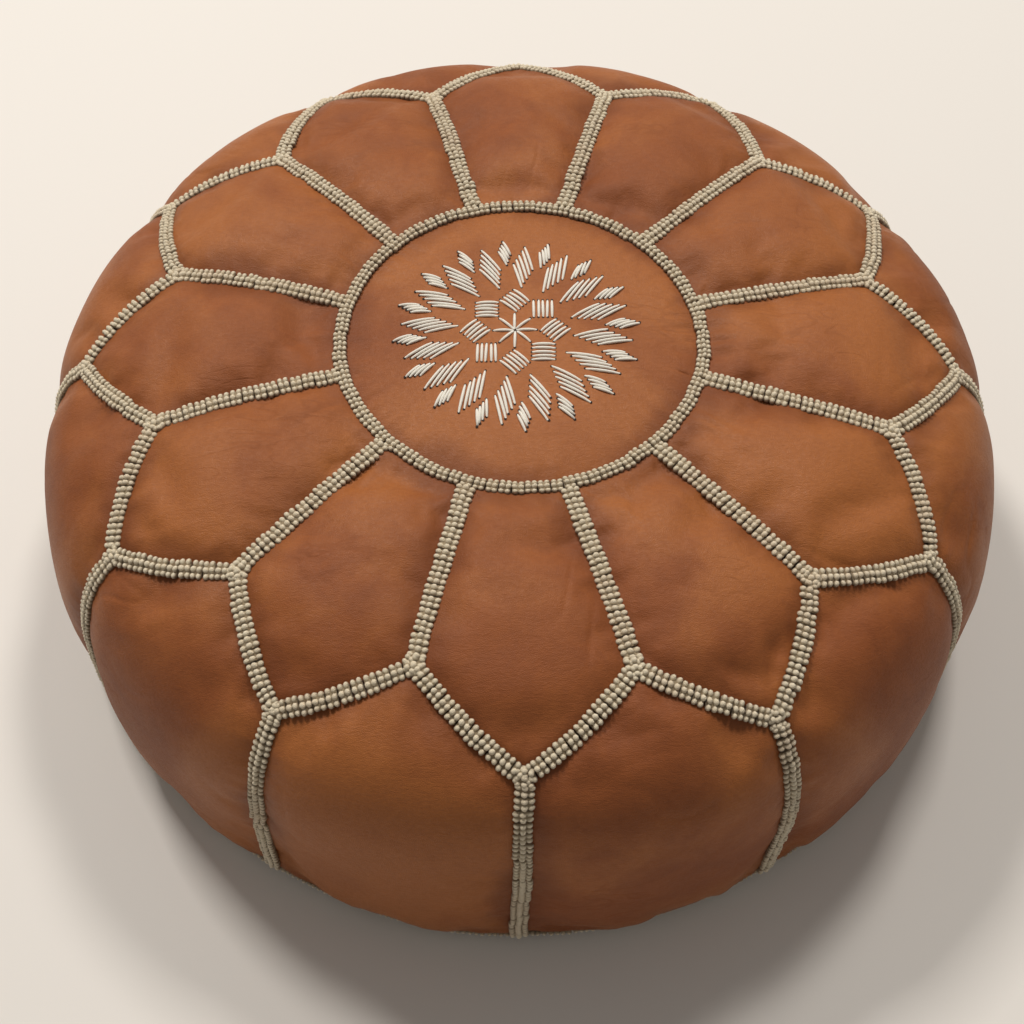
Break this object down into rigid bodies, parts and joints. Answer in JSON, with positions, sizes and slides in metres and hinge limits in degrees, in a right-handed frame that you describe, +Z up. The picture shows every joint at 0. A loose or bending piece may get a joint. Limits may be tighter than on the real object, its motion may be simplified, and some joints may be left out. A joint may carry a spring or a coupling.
{
  "type": "leather pouf",
  "caption": "Round, low leather floor pouf with an embroidered medallion, petal-shaped top panels, braided seams and a zipped base.",
  "frame": {"origin": "on the floor under the middle of the pouf", "axes": "+Z up along the pouf's own axis; the zip in the base runs along X; -Y faces the viewer"},
  "size_m": [0.564, 0.564, 0.2015],
  "materials": {
    "tan_leather": "satin, softly grained tan leather",
    "cream_thread": "matte twisted cream thread worked as a braid",
    "white_floss": "soft sheen embroidery thread",
    "brown_tape": "woven zip tape",
    "zip_brass": "brushed brass",
    "liner_cotton": "plain unbleached cotton",
    "filling_fibre": "loose fibre filling"
  },
  "bodies": {
    "cover": {"medallion": "tan_leather", "medallion_embroidery": "white_floss", "petal_01": "tan_leather", "petal_02": "tan_leather", "petal_03": "tan_leather", "petal_04": "tan_leather", "petal_05": "tan_leather", "petal_06": "tan_leather", "petal_07": "tan_leather", "petal_08": "tan_leather", "petal_09": "tan_leather", "petal_10": "tan_leather", "petal_11": "tan_leather", "petal_12": "tan_leather", "side_panel_01": "tan_leather", "side_panel_02": "tan_leather", "side_panel_03": "tan_leather", "side_panel_04": "tan_leather", "side_panel_05": "tan_leather", "side_panel_06": "tan_leather", "side_panel_07": "tan_leather", "side_panel_08": "tan_leather", "side_panel_09": "tan_leather", "side_panel_10": "tan_leather", "side_panel_11": "tan_leather", "side_panel_12": "tan_leather", "crown_braid": "cream_thread", "zigzag_braid": "cream_thread", "side_braid_01": "cream_thread", "side_braid_02": "cream_thread", "side_braid_03": "cream_thread", "side_braid_04": "cream_thread", "side_braid_05": "cream_thread", "side_braid_06": "cream_thread", "side_braid_07": "cream_thread", "side_braid_08": "cream_thread", "side_braid_09": "cream_thread", "side_braid_10": "cream_thread", "side_braid_11": "cream_thread", "side_braid_12": "cream_thread", "base_braid": "cream_thread", "base_half_front": "tan_leather", "base_half_back": "tan_leather", "zip_tape_front": "brown_tape", "zip_tape_back": "brown_tape", "zip_teeth_front": "zip_brass", "zip_teeth_back": "zip_brass", "zip_end_tab_left": "tan_leather", "zip_end_tab_right": "tan_leather", "liner_bag": "liner_cotton", "stuffing": "filling_fibre"},
    "slider": {"zip_slider": "zip_brass"},
    "pull": {"zip_pull": "zip_brass"}
  },
  "joints": [
    {"name": "zip_slide", "type": "slide", "parent": "cover", "child": "slider", "axis": [-1, 0, 0], "range_m": [0, 0.41]},
    {"name": "pull_hinge", "type": "hinge", "parent": "slider", "child": "pull", "pos_m": [0.205, 0, 0.0039], "axis": [0, -1, 0], "range_deg": [0, 180]}
  ]
}
